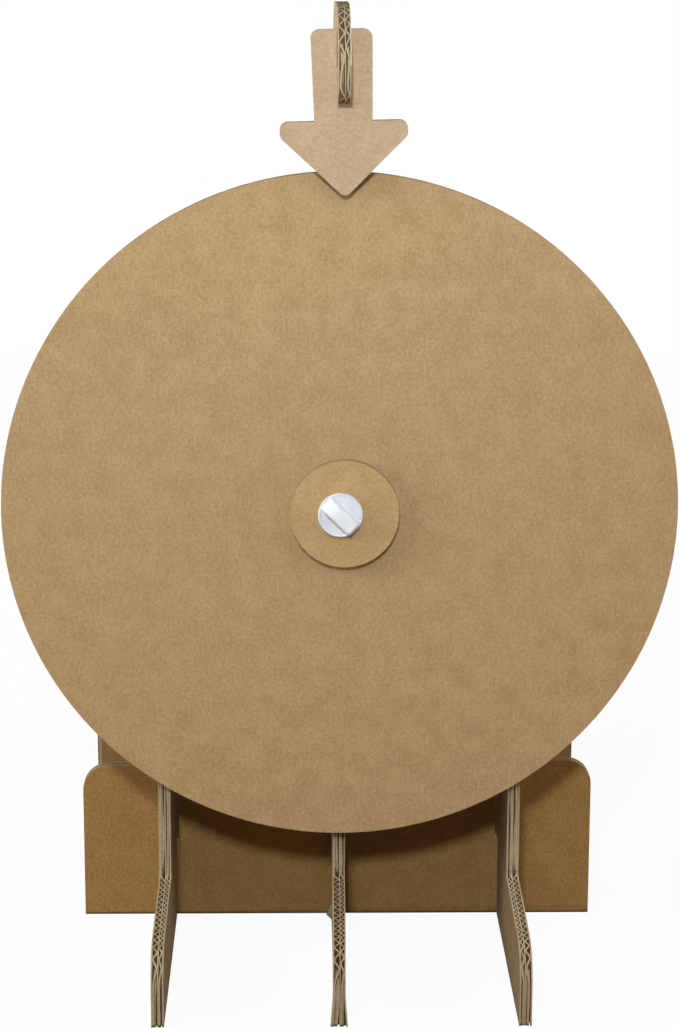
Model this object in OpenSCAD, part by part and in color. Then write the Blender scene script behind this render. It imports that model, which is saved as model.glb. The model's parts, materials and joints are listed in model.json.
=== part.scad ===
// Tabletop spin wheel cut from double-wall corrugated board, on a stand of slotted boards.
// Millimetres. +Z is up, -Y faces the player, and the origin is on the floor at the middle of the base.

/* [Board] */
// Thickness of the corrugated board that every flat piece is cut from
board_t = 7.4; // [6:0.1:9]
// Clearance on each side of a board in a slot
slot_gap = 0.5; // [0.2:0.05:0.8]

/* [Wheel] */
// Diameter of the wheel
wheel_d = 400; // [340:2:430]
// Height of the wheel's axis above the floor
hub_height = 285; // [270:1:310]
// Diameter of the board washers and of the hub spacer
washer_d = 64; // [50:1:76]
// Gap between the wheel's back and the front edges of the fins
wheel_gap = 5; // [3:0.5:7]
// Free play along the axis on each side of the turning wheel
spin_gap = 0.3; // [0.2:0.05:0.6]

/* [Turn fastener] */
// Diameter of the stem that the wheel turns on
stem_d = 14; // [10:0.5:18]
// Radial clearance of the stem in its bores
stem_fit = 0.05; // [0.02:0.01:0.1]
// Diameter of the flange
flange_d = 26.4; // [22:0.2:34]
// Thickness of the flange
flange_t = 2.4; // [1.6:0.1:4]
// Width of the raised rim on the flange
rim_w = 1.2; // [0.8:0.1:2]
// Height of the raised rim on the flange
rim_h = 0.5; // [0.3:0.1:1]
// Length of the wing grip
wing_l = 23.6; // [18:0.2:25]
// Width of the wing grip
wing_w = 9.8; // [6:0.2:12]
// Height of the wing grip above the flange
wing_h = 7.5; // [4:0.5:12]
// Corner radius of the wing grip
wing_r = 1.6; // [0.5:0.1:3]
// Turn of the wing grip from level, clockwise as the player sees it
wing_angle = 44; // [0:1:90]
// Diameter of the neck that turns in the lock disc
neck_d = 8; // [6:0.5:9]
// Width of the bayonet head behind the lock disc
head_w = 7.6; // [5:0.2:8]
// Thickness of the bayonet head
head_t = 4; // [3:0.5:6]
// Free play between the bayonet head and the lock disc
head_play = 0.2; // [0.1:0.05:0.4]

/* [Lock disc] */
// Diameter of the lock disc
lock_d = 34; // [26:1:44]
// Thickness of the lock disc
lock_t = 3; // [2:0.5:5]
// Width of the stiffening rim on the back of the lock disc
lock_rim_w = 2; // [1:0.5:3]
// Height of the stiffening rim on the back of the lock disc
lock_rim_h = 1.6; // [0.5:0.1:3]

/* [Hub plate] */
// Height of the hub plate
plate_h = 120; // [104:2:150]
// Reach of the hub plate past the middle of each outer fin
plate_side = 18.5; // [12:0.5:30]
// Corner radius of the hub plate
plate_r = 10; // [2:1:20]

/* [Fins] */
// Distance from the centre fin to each outer fin, middle to middle
fin_spread = 106.5; // [85:0.5:125]
// Reach of the toes in front of the wheel's face
toe_reach = 94; // [70:1:130]
// Height of the toes
toe_h = 45; // [30:1:55]
// Radius of the toes' upper corners
toe_r = 22; // [5:1:28]
// Height of the foot where it meets the upright
knee_h = 52; // [35:1:58]
// Radius of the inner corner where the foot meets the upright
knee_r = 3; // [1:0.5:8]
// Depth of the upright, front to back
upright_w = 70; // [56:1:90]
// Radius of the outer fins' top corners
fin_r = 14; // [4:1:24]
// Reach of the fins behind the rear cross board
heel_reach = 36.6; // [20:0.2:60]
// Height of the heels
heel_h = 70; // [55:1:90]
// Radius of the heels' upper corners
heel_r = 22; // [5:1:30]
// Room above and below the washers in the centre fin's notch
notch_room = 3; // [2:0.5:6]
// Room behind the bayonet head in the centre fin's notch
notch_depth_room = 4; // [2:0.5:8]

/* [Cross boards] */
// Width of the cross boards
cross_w = 324; // [280:2:380]
// Height of the cross boards
cross_h = 102.4; // [80:0.4:120]
// Radius of the cross boards' top corners
cross_r = 16; // [2:1:24]
// Distance from the fins' front edges to the front cross board
cross_setback = 71.6; // [50:0.2:90]
// Distance from one cross board to the next
cross_pitch = 118; // [80:1:150]

/* [Arm] */
// Gap from the top of the wheel to the underside of the arm
rim_clear = 40; // [30:1:50]
// Height of the arm
arm_h = 55; // [42:1:70]
// Radius where the arm meets the upright
arm_r = 20; // [4:1:30]
// Reach of the arm's nose in front of the pointer
nose_l = 14; // [8:0.5:24]
// Radius of the nose's upper corner
nose_r = 40; // [10:1:44]
// Radius of the nose's lower corner
nose_low_r = 12; // [2:1:13]
// Radius of the upright's top rear corner
mast_r = 40; // [6:1:46]

/* [Pointer] */
// Gap between the wheel's face and the back of the pointer
pointer_gap = 10; // [6:0.5:20]
// Reach of the pointer's sharp tip below the top of the wheel
tip_overlap = 14; // [6:0.5:24]
// Width of the pointer's head
pointer_w = 73; // [60:0.5:90]
// Height of the straight ends of the pointer's head
barb_h = 8.6; // [7:0.2:14]
// Radius of the pointer's barbs
barb_r = 4.8; // [1:0.2:5.6]
// Slope of the pointer's lower edges, from level
head_slope = 44; // [35:1:55]
// Radius of the pointer's tip
tip_r = 4; // [1:0.5:6]
// Width of the pointer's stem
stem_w = 32; // [24:0.5:44]
// Height of the pointer's stem above its head
stem_h = 51.6; // [40:0.2:64]
// Radius of the stem's top corners
stem_r = 5; // [1:0.5:5]

/* [Hidden] */
$fn = 96;

kraft = "#b59467";
kraft_shade = "#a3845a";
kraft_pale = "#c4a67a";
white_plastic = "#e6e8ec";

// Overrun of a cut past the face that it opens
over = 1;
slot_w = board_t + 2 * slot_gap;

// Depth stations, from the toes back to the heels
base_depth = toe_reach + board_t + wheel_gap + cross_setback + cross_pitch + board_t + heel_reach;
toe_y = -base_depth / 2;
heel_y = base_depth / 2;
wheel_front = toe_y + toe_reach;
wheel_back = wheel_front + board_t;
fin_front = wheel_back + wheel_gap;
upright_back = fin_front + upright_w;
front_cross_y = fin_front + cross_setback;
rear_cross_y = front_cross_y + cross_pitch;
pointer_back = wheel_front - pointer_gap;
pointer_front = pointer_back - board_t;
nose_y = pointer_front - nose_l;

// Stack along the axle, measured back from the wheel's front face
flange_back = -board_t - spin_gap;
flange_front = flange_back - flange_t;
spacer_at = 2 * board_t + spin_gap;
plate_at = spacer_at + board_t;
lock_at = plate_at + board_t;
head_at = lock_at + lock_t + head_play;
head_back = head_at + head_t;
plate_y = wheel_front + plate_at;
stem_bore = stem_d + 2 * stem_fit;

// Heights
rim_top = hub_height + wheel_d / 2;
plate_top = hub_height + plate_h / 2;
plate_bottom = hub_height - plate_h / 2;
plate_w = 2 * (fin_spread + plate_side);
notch_h = washer_d + 2 * notch_room;
notch_back = wheel_front + head_back + notch_depth_room;
cross_mid = cross_h / 2;
arm_bottom = rim_top + rim_clear;
arm_top = arm_bottom + arm_h;
tip_z = rim_top - tip_overlap;
barb_z = tip_z + pointer_w / 2 * tan(head_slope);
pointer_head_top = barb_z + barb_h;
stem_top = pointer_head_top + stem_h;
lap_z = (arm_bottom + stem_top) / 2;

// Segments in each rounded corner of a cut outline
corner_steps = 16;

function unit(v) = v / norm(v);

// The arc that rounds corner q, given as [x, y, radius], between its neighbours p and s
function corner(p, q, s) =
    let (at = [q.x, q.y],
         u = unit([p.x, p.y] - at),
         v = unit([s.x, s.y] - at),
         half = acos(u * v) / 2,
         centre = at + unit(u + v) * q[2] / sin(half),
         from = at + u * q[2] / tan(half) - centre,
         start = atan2(from.y, from.x),
         turn = (u.x * v.y - u.y * v.x > 0 ? -1 : 1) * (180 - 2 * half))
    [for (k = [0:corner_steps])
        centre + q[2] * [cos(start + turn * k / corner_steps), sin(start + turn * k / corner_steps)]];

// An outline of [x, y, radius] corners, with each corner that has a radius rounded
function rounded(pts) =
    let (n = len(pts))
    [for (i = [0:n - 1])
        each pts[i][2] > 0 ? corner(pts[(i + n - 1) % n], pts[i], pts[(i + 1) % n]) : [[pts[i].x, pts[i].y]]];

// A board standing across the stand, cut to an outline in X and Z, with its front face at y
module facing_board(y, outline) {
    translate([0, y + board_t, 0]) rotate([90, 0, 0]) linear_extrude(board_t) polygon(rounded(outline));
}

// A board standing front to back, cut to an outline in Y and Z, with its middle at x
module side_board(x, outline) {
    translate([x, 0, 0]) rotate([90, 0, 90]) linear_extrude(board_t, center = true) polygon(rounded(outline));
}

// Puts a shape on the axle: its own z runs back from the wheel's front face, and its own y runs down
module on_axle(depth = 0) {
    translate([0, wheel_front + depth, hub_height]) rotate([-90, 0, 0]) children();
}

// A round piece on the axle with its bore
module bored_disc(d, depth, t) {
    on_axle(depth) difference() {
        cylinder(d = d, h = t);
        translate([0, 0, -over]) cylinder(d = stem_bore, h = t + 2 * over);
    }
}

// A slot for a fin in a board that stands across the stand
module fin_slot(x, y, z_from, z_to) {
    translate([x - slot_w / 2, y - over, z_from]) cube([slot_w, board_t + 2 * over, z_to - z_from]);
}

// A slot for a crossing board in a fin at x
module cross_slot(x, y, z_from, z_to) {
    translate([x - board_t / 2 - over, y - slot_gap, z_from]) cube([board_t + 2 * over, slot_w, z_to - z_from]);
}

// The foot in front of the upright, from the floor up to the knee
foot_points = [[toe_y, 0, 0], [toe_y, toe_h, toe_r], [fin_front, knee_h, knee_r]];
// The heel behind the upright, down to the floor
heel_points = [[heel_y, heel_h, heel_r], [heel_y, 0, 0]];

outer_fin_points = concat(
    foot_points,
    [[fin_front, plate_top, min(fin_r, plate_at - board_t - wheel_gap - slot_gap)], [upright_back, plate_top, fin_r]],
    heel_points);

centre_fin_points = concat(
    foot_points,
    [[fin_front, arm_bottom, arm_r], [nose_y, arm_bottom, nose_low_r],
     [nose_y, arm_top, min(nose_r, arm_h - nose_low_r)],
     [upright_back, arm_top, mast_r], [upright_back, plate_top, fin_r]],
    heel_points);

pointer_points = [
    [0, tip_z, tip_r],
    [pointer_w / 2, barb_z, barb_r], [pointer_w / 2, pointer_head_top, barb_r],
    [stem_w / 2, pointer_head_top, 0], [stem_w / 2, stem_top, stem_r],
    [-stem_w / 2, stem_top, stem_r], [-stem_w / 2, pointer_head_top, 0],
    [-pointer_w / 2, pointer_head_top, barb_r], [-pointer_w / 2, barb_z, barb_r]];

// Slots, open at the floor, that drop over the two cross boards
module floor_slots(x) {
    for (y = [front_cross_y, rear_cross_y]) cross_slot(x, y, -over, cross_mid);
}

module outer_fin(x) {
    color(kraft_shade) difference() {
        side_board(x, outer_fin_points);
        floor_slots(x);
        cross_slot(x, plate_y, hub_height, plate_top + over);
    }
}

module cross_board(y) {
    color(kraft) difference() {
        facing_board(y, [
            [-cross_w / 2, 0, 0], [cross_w / 2, 0, 0],
            [cross_w / 2, cross_h, cross_r], [-cross_w / 2, cross_h, cross_r]]);
        for (x = [-fin_spread, 0, fin_spread]) fin_slot(x, y, cross_mid, cross_h + over);
    }
}

module wheel_disc() {
    color(kraft) bored_disc(wheel_d, 0, board_t);
}

module front_washer() {
    color(kraft) bored_disc(washer_d, -board_t, board_t);
}

module rear_washer() {
    color(kraft_shade) bored_disc(washer_d, board_t, board_t);
}

module hub_spacer() {
    color(kraft_shade) bored_disc(washer_d, spacer_at, board_t);
}

// Half section of the fastener's turned body: flange with its rim, stem, and neck into the bayonet head
fastener_section = [
    [0, flange_front], [flange_d / 2 - rim_w, flange_front], [flange_d / 2 - rim_w, flange_front - rim_h],
    [flange_d / 2, flange_front - rim_h], [flange_d / 2, flange_back], [stem_d / 2, flange_back],
    [stem_d / 2, lock_at - head_play], [neck_d / 2, lock_at - head_play],
    [neck_d / 2, head_at + head_t / 2], [0, head_at + head_t / 2]];

wing_points = [
    [-wing_l / 2, -wing_w / 2, wing_r], [wing_l / 2, -wing_w / 2, wing_r],
    [wing_l / 2, wing_w / 2, wing_r], [-wing_l / 2, wing_w / 2, wing_r]];

// Flange and wing grip in front, plain stem through the boards, neck and bayonet head at the back
module turn_fastener() {
    color(white_plastic) {
        on_axle() rotate_extrude() polygon(fastener_section);
        on_axle(flange_front - wing_h) rotate(wing_angle)
            linear_extrude(wing_h + flange_t / 2) polygon(rounded(wing_points));
        on_axle(head_at) rotate(wing_angle) intersection() {
            cylinder(d = stem_d, h = head_t);
            translate([-stem_d / 2, -head_w / 2, 0]) cube([stem_d, head_w, head_t]);
        }
    }
}

// Flanged disc behind the hub plate, with the slot that the bayonet head passes and then turns across
module lock_disc() {
    color(white_plastic) on_axle(lock_at) difference() {
        cylinder(d = lock_d, h = lock_t + lock_rim_h);
        translate([0, 0, lock_t]) cylinder(d = lock_d - 2 * lock_rim_w, h = lock_rim_h + over);
        translate([0, 0, -over]) cylinder(d = neck_d + 2 * stem_fit, h = lock_t + 2 * over);
        rotate(wing_angle + 90) translate([-stem_bore / 2, -head_w / 2 - slot_gap / 2, -over])
            cube([stem_bore, head_w + slot_gap, lock_t + 2 * over]);
    }
}

// Carries the axle: slots below for the outer fins, keys above and below for the centre fin
module hub_plate() {
    color(kraft_shade) difference() {
        facing_board(plate_y, [
            [-plate_w / 2, plate_bottom, plate_r], [plate_w / 2, plate_bottom, plate_r],
            [plate_w / 2, plate_top, plate_r], [-plate_w / 2, plate_top, plate_r]]);
        on_axle(plate_at - over) cylinder(d = stem_bore, h = board_t + 2 * over);
        for (x = [-fin_spread, fin_spread]) fin_slot(x, plate_y, plate_bottom - over, hub_height);
        fin_slot(0, plate_y, plate_bottom - over, hub_height - notch_h / 2);
        fin_slot(0, plate_y, hub_height + notch_h / 2, plate_top + over);
    }
}

// Foot, upright and arm in one board, notched round the hub and slotted for the pointer
module centre_fin() {
    color(kraft_shade) difference() {
        side_board(0, centre_fin_points);
        floor_slots(0);
        translate([-board_t / 2 - over, fin_front - over, hub_height - notch_h / 2])
            cube([board_t + 2 * over, notch_back - fin_front + over, notch_h]);
        cross_slot(0, pointer_front, arm_bottom - over, lap_z);
    }
}

module left_fin() {
    outer_fin(-fin_spread);
}

module right_fin() {
    outer_fin(fin_spread);
}

module front_cross_board() {
    cross_board(front_cross_y);
}

module rear_cross_board() {
    cross_board(rear_cross_y);
}

module pointer_arrow() {
    color(kraft_pale) difference() {
        facing_board(pointer_front, pointer_points);
        fin_slot(0, pointer_front, lap_z, stem_top + over);
    }
}

wheel_disc();
front_washer();
rear_washer();
turn_fastener();
lock_disc();
hub_spacer();
hub_plate();
centre_fin();
left_fin();
right_fin();
front_cross_board();
rear_cross_board();
pointer_arrow();
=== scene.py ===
"""Looks of a tabletop spin wheel cut from double-wall corrugated board.

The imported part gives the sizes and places. Each board is drawn again as the sheets that it is glued from,
three liners and two fluted sheets, cut to the outline of its own solid, so that its cut edges show their
open flutes. The wheel turns on a white moulded fastener. Lengths are metres, angles are radians, and a name
that ends in _mm or _deg is in millimetres or degrees.
"""

import json
import logging
import math
from dataclasses import dataclass, field, replace
from enum import Enum, IntEnum

import bmesh
import bpy
import numpy as np
from bpy.types import Material, Node, NodeSocket, NodeTree, Object
from mathutils import Matrix, Vector
from numpy import ndarray


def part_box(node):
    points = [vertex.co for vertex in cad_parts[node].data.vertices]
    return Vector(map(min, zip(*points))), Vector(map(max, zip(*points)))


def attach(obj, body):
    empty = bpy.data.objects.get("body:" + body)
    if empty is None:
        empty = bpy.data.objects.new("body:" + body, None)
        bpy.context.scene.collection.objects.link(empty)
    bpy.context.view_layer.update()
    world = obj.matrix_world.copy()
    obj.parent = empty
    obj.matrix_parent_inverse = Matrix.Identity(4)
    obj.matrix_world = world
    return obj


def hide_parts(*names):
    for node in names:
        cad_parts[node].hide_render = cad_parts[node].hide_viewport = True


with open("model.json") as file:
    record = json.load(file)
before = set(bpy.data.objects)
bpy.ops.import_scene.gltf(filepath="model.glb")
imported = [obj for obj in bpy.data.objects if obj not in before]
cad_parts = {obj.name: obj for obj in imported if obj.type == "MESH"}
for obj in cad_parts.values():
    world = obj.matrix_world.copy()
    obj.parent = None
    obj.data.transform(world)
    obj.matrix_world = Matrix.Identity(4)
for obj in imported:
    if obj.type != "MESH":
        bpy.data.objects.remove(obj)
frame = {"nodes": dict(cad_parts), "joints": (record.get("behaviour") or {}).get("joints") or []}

LOG = logging.getLogger("spin_wheel")
MM = 0.001
TURN = 2 * math.pi
# Points nearer than this are one point.
SAME = 1e-6
# A run of nothing counts as this long, where something is divided by it.
TINY = 1e-12
# Points that agree to this many decimals are one, on a solid and on a mesh that is drawn here.
SOLID_DIGITS = 6
MESH_DIGITS = 7
# The mesh attribute that holds each point's place on the paper.
PAPER = "paper"
# A board takes the pattern of its paper from one of this many places, a metre apart.
PAPER_PLACES = 31
# A circle starts this far along its first step, so that none of its edges is parallel to an axis.
CIRCLE_START = 0.37


def linear(colour: str) -> tuple[float, float, float, float]:
    """Turns an sRGB hex colour into linear light.

    Args:
        colour: The colour as "#rrggbb".

    Returns:
        Red, green, blue and an alpha of 1.
    """
    parts = np.array([int(colour[at:at + 2], 16) for at in (1, 3, 5)]) / 255
    light = np.where(parts <= 0.04045, parts / 12.92, ((parts + 0.055) / 1.055) ** 2.4)
    return (*light.tolist(), 1.0)


def add_node(tree: NodeTree, kind: str, settings: dict | None = None, links: dict | None = None) -> Node:
    """Adds one node with its settings and links.

    Args:
        tree: The node tree that gets the node.
        kind: The node's type.
        settings: Values by property name, or by input name or number.
        links: The output that feeds each input, by the input's name or number.

    Returns:
        The new node.
    """
    node = tree.nodes.new(kind)
    for name, value in (settings or {}).items():
        if isinstance(name, str) and hasattr(node, name):
            setattr(node, name, value)
        else:
            node.inputs[name].default_value = value
    for name, source in (links or {}).items():
        tree.links.new(source, node.inputs[name])
    return node


def noise(tree: NodeTree, place: NodeSocket, size_mm: float, detail: float,
          roughness: float = 0.5) -> NodeSocket:
    """Adds a noise of a real size.

    Args:
        tree: The node tree that gets it.
        place: The output with each point's place, in metres.
        size_mm: The size of its largest blotches.
        detail: How many finer noises are laid over it.
        roughness: How strong the finer ones are.

    Returns:
        Its value, which lies about 0.5.
    """
    return add_node(tree, "ShaderNodeTexNoise", {
        "Scale": 1 / (size_mm * MM), "Detail": detail, "Roughness": roughness}, {
        "Vector": place}).outputs["Fac"]


def ramp(tree: NodeTree, value: NodeSocket, start: float, end: float, low: float = 0.0,
         high: float = 1.0) -> NodeSocket:
    """Maps a stretch of a value in step to another stretch, and holds it level past both ends.

    Args:
        tree: The node tree that gets the map.
        value: The output to map.
        start: Where the stretch starts.
        end: Where it ends.
        low: What it gives at the start.
        high: What it gives at the end.

    Returns:
        The mapped value.
    """
    return add_node(tree, "ShaderNodeMapRange", {
        "From Min": start, "From Max": end, "To Min": low, "To Max": high}, {"Value": value}).outputs[0]


def empty_material(name: str) -> tuple[Material, NodeTree]:
    """Makes a node material with nothing in it.

    Args:
        name: The material's name.

    Returns:
        The material and its node tree.
    """
    material = bpy.data.materials.new(name)
    material.use_nodes = True
    material.node_tree.nodes.clear()
    return material, material.node_tree


@dataclass(frozen=True)
class Finish:
    """A finish of two near tones, whose fine texture shows in its roughness and as relief."""

    name: str
    light: str
    shade: str
    roughness: float
    roughness_swing: float
    gloss: float
    refraction: float
    relief_mm: float
    relief_strength: float
    texture_band: tuple[float, float] = (0.3, 0.7)

    def two_tone(self, tree: NodeTree, share: NodeSocket) -> NodeSocket:
        """Mixes the two tones, where a share of 1 is the light one."""
        return add_node(tree, "ShaderNodeMix", {
            "data_type": "RGBA", 6: linear(self.shade), 7: linear(self.light)}, {0: share}).outputs[2]

    def surface(self, tree: NodeTree, colour: NodeSocket, texture: NodeSocket) -> None:
        """Ends the material with its surface.

        Args:
            tree: The material's node tree.
            colour: The output with its colour.
            texture: The output with its fine texture.
        """
        rough = ramp(tree, texture, *self.texture_band, self.roughness - self.roughness_swing,
                     self.roughness + self.roughness_swing)
        bump = add_node(tree, "ShaderNodeBump", {
            "Strength": self.relief_strength, "Distance": self.relief_mm * MM}, {"Height": texture})
        shader = add_node(tree, "ShaderNodeBsdfPrincipled", {
            "IOR": self.refraction, "Specular IOR Level": self.gloss}, {
            "Base Color": colour, "Roughness": rough, "Normal": bump.outputs[0]})
        add_node(tree, "ShaderNodeOutputMaterial", links={"Surface": shader.outputs[0]})


@dataclass(frozen=True)
class KraftPaper(Finish):
    """Unbleached kraft paper, pressed on a paper machine: matt brown, cloudy, with fibres along the web.

    The fibres lie across the flutes, because a board's flutes run across the web. Real fibres are too fine to
    show at arm's length, so they are drawn about three times too coarse. A face has a trace of gloss, and a
    cut edge has none. Its colour darkens towards its lowest edge: painted shade for the contact shadow along
    the floor.
    """

    roughness: float = 0.84
    roughness_swing: float = 0.06
    gloss: float = 0.12
    refraction: float = 1.48
    relief_mm: float = 0.035
    relief_strength: float = 0.35
    cloud_mm: float = 14.0
    cloud_share: float = 0.25
    grain_mm: float = 1.7
    fibre_length_mm: float = 4.5
    fibre_width_mm: float = 1.3
    fibre_share: float = 0.35
    spread: float = 0.11
    fleck: str = "#6b4a2a"
    fleck_mm: float = 2.4
    fleck_band: tuple[float, float] = (0.66, 0.74)
    fleck_depth: float = 0.10
    # Painted shade towards the lowest edge, for the contact shadow along the floor: its colour, height and
    # depth.
    painted_shade: str = "#4a3a2b"
    painted_shade_mm: float = 2.2
    painted_shade_depth: float = 0.96

    def material(self) -> Material:
        """Makes the material: two tones mixed by cloud, grain and fibre, with flecks and painted shade low
        down.

        Returns:
            The material.
        """
        material, tree = empty_material(self.name)
        place = add_node(tree, "ShaderNodeAttribute", {"attribute_name": PAPER}).outputs["Vector"]
        fibre_mm = (self.fibre_length_mm, self.fibre_width_mm, self.fibre_width_mm)
        along = add_node(tree, "ShaderNodeMapping", {
            "Scale": [1 / (size * MM) for size in fibre_mm]}, {"Vector": place})
        fibre = add_node(tree, "ShaderNodeTexNoise", {
            "Scale": 1.0, "Detail": 3.0, "Roughness": 0.6}, {"Vector": along.outputs["Vector"]})
        cloud = noise(tree, place, self.cloud_mm, detail=3.0, roughness=0.55)
        grain = noise(tree, place, self.grain_mm, detail=2.0, roughness=0.6)
        texture = add_node(tree, "ShaderNodeMix", {0: self.fibre_share}, {
            2: grain, 3: fibre.outputs["Fac"]}).outputs[0]
        tone = add_node(tree, "ShaderNodeMix", {0: self.cloud_share}, {2: texture, 3: cloud}).outputs[0]
        colour = self.two_tone(tree, ramp(tree, tone, 0.5 - self.spread, 0.5 + self.spread))
        fleck = noise(tree, place, self.fleck_mm, detail=1.0)
        flecks = ramp(tree, fleck, *self.fleck_band, high=self.fleck_depth)
        # Painted shade: the colour darkens over the lowest millimetres above the floor.
        up = add_node(tree, "ShaderNodeSeparateXYZ", links={
            0: add_node(tree, "ShaderNodeTexCoord").outputs["Object"]}).outputs["Z"]
        painted_shade = ramp(tree, up, 0.0, self.painted_shade_mm * MM, self.painted_shade_depth, 0.0)
        for share, stain_and_shade in ((flecks, self.fleck), (painted_shade, self.painted_shade)):
            colour = add_node(tree, "ShaderNodeMix", {
                "data_type": "RGBA", "blend_type": "MULTIPLY", 7: linear(stain_and_shade)}, {
                0: share, 6: colour}).outputs[2]
        self.surface(tree, colour, texture)
        return material


@dataclass(frozen=True)
class Polypropylene(Finish):
    """White injection-moulded polypropylene: satin, a little waxy, with a fine spark-eroded mould texture.

    Light goes some way into it, so a thick piece sends more back than a thin one and looks whiter.
    """

    roughness: float = 0.55
    roughness_swing: float = 0.05
    gloss: float = 0.3
    refraction: float = 1.49
    relief_mm: float = 0.02
    relief_strength: float = 0.3
    cloud_mm: float = 9.0
    cloud_band: tuple[float, float] = (0.35, 0.65)
    texture_mm: float = 0.7

    def material(self) -> Material:
        """Makes the plastic's material: faint flow marks in its colour, and its mould texture as relief.

        Returns:
            The material.
        """
        material, tree = empty_material(self.name)
        place = add_node(tree, "ShaderNodeTexCoord").outputs["Object"]
        cloud, texture = (noise(tree, place, size, detail=2.0) for size in (self.cloud_mm, self.texture_mm))
        self.surface(tree, self.two_tone(tree, ramp(tree, cloud, *self.cloud_band)), texture)
        return material


@dataclass(frozen=True)
class StudioPaper:
    """Pale matt floor paper: shows white, with a soft shadow in the middle, and sends up little light."""

    name: str = "studio_paper"
    seen: str = "#ffffff"
    unseen: str = "#a79a88"
    glow_share: float = 0.93
    fade: tuple[float, float] = (0.8, 2.4)
    roughness: float = 0.95

    def material(self) -> Material:
        """Makes the paper's material: pale and partly glowing for rays that show it, darker for the rest.

        The glow grows with the distance from the middle, until it is all that shows.

        Returns:
            The material.
        """
        material, tree = empty_material(self.name)
        pale = add_node(tree, "ShaderNodeBsdfDiffuse", {
            "Color": linear(self.seen), "Roughness": self.roughness})
        glow = add_node(tree, "ShaderNodeEmission", {"Color": linear(self.seen), "Strength": 1.0})
        away = add_node(tree, "ShaderNodeVectorMath", {"operation": "LENGTH"}, {
            0: add_node(tree, "ShaderNodeTexCoord").outputs["Object"]}).outputs["Value"]
        lit = add_node(tree, "ShaderNodeMixShader", links={
            0: ramp(tree, away, *self.fade, self.glow_share, 1.0), 1: pale.outputs[0], 2: glow.outputs[0]})
        dull = add_node(tree, "ShaderNodeBsdfDiffuse", {"Color": linear(self.unseen)})
        either = add_node(tree, "ShaderNodeMixShader", links={
            0: shown_rays(tree), 1: dull.outputs[0], 2: lit.outputs[0]})
        add_node(tree, "ShaderNodeOutputMaterial", links={"Surface": either.outputs[0]})
        return material


def shown_rays(tree: NodeTree) -> NodeSocket:
    """Finds the rays that show the background: from the camera, or by way of gloss or glass.

    Args:
        tree: The node tree that needs to know.

    Returns:
        An output that is 1 for such rays and 0 for the rest.
    """
    path = add_node(tree, "ShaderNodeLightPath")
    gloss = add_node(tree, "ShaderNodeMath", {"operation": "MAXIMUM"}, {
        0: path.outputs["Is Camera Ray"], 1: path.outputs["Is Glossy Ray"]})
    return add_node(tree, "ShaderNodeMath", {"operation": "MAXIMUM"}, {
        0: gloss.outputs[0], 1: path.outputs["Is Transmission Ray"]}).outputs[0]


def make_object(name: str, vertices: ndarray, faces: list, materials: list[Material],
                face_slots: ndarray | None = None, paper: ndarray | None = None,
                sharp_deg: float = 35.0) -> Object:
    """Puts worked-out points and faces into a new object at the origin.

    Args:
        name: The object's name.
        vertices: Points in metres, one row each.
        faces: Point numbers of each face.
        materials: The object's materials.
        face_slots: Which material each face takes, or none where all take the first.
        paper: Place on the paper of each point: across the flutes, along them, and through the board.
        sharp_deg: Edges that turn more than this stay sharp.

    Returns:
        The object, linked to the scene.
    """
    mesh = bpy.data.meshes.new(name)
    mesh.from_pydata(vertices, [], faces)
    for material in materials:
        mesh.materials.append(material)
    if face_slots is not None:
        mesh.polygons.foreach_set("material_index", np.asarray(face_slots, np.int32))
    if paper is not None:
        mesh.attributes.new(PAPER, "FLOAT_VECTOR", "POINT").data.foreach_set("vector", paper.ravel())
    mesh.shade_smooth()
    mesh.set_sharp_from_angle(angle=math.radians(sharp_deg))
    mesh.update()
    piece = bpy.data.objects.new(name, mesh)
    bpy.context.scene.collection.objects.link(piece)
    return piece


def install(piece: Object, node: str, body: str) -> None:
    """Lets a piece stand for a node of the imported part.

    Args:
        piece: The piece, in its place.
        node: The node that it stands for.
        body: The body that it moves with.
    """
    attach(piece, body)
    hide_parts(node)
    LOG.info("%s stands for %s on %s: %d faces", piece.name, node, body, len(piece.data.polygons))


def node_triangles(node: str) -> tuple[ndarray, ndarray]:
    """Reads a node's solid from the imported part.

    Args:
        node: The node's name.

    Returns:
        Its points, and the point numbers of its triangles.
    """
    mesh = frame["nodes"][node].data
    points = np.empty(len(mesh.vertices) * 3, np.float32)
    mesh.vertices.foreach_get("co", points)
    corners = np.empty(len(mesh.loops), np.int32)
    mesh.loops.foreach_get("vertex_index", corners)
    return points.reshape(-1, 3).astype(float), corners.reshape(-1, 3)


def merged(points: ndarray, digits: int) -> tuple[ndarray, ndarray]:
    """Makes one point of those that agree to so many decimals, and gives the new number of each old one."""
    places, number = np.unique(np.round(points, digits), axis=0, return_inverse=True)
    return places, number.reshape(-1)


def turn(angle: float) -> ndarray:
    """Gives the matrix that turns a point anticlockwise by an angle."""
    return np.array([[math.cos(angle), -math.sin(angle)], [math.sin(angle), math.cos(angle)]])


def circle(count: int) -> ndarray:
    """Works out a unit circle of that many points."""
    angle = (np.arange(count) + CIRCLE_START) * TURN / count
    return np.stack([np.cos(angle), np.sin(angle)], axis=1)


def axle() -> Vector:
    """Gives the point on the wheel's axis at its front face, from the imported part's joint."""
    return Vector(next(joint["pos_m"] for joint in frame["joints"] if joint["name"] == "wheel_spin"))


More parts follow.
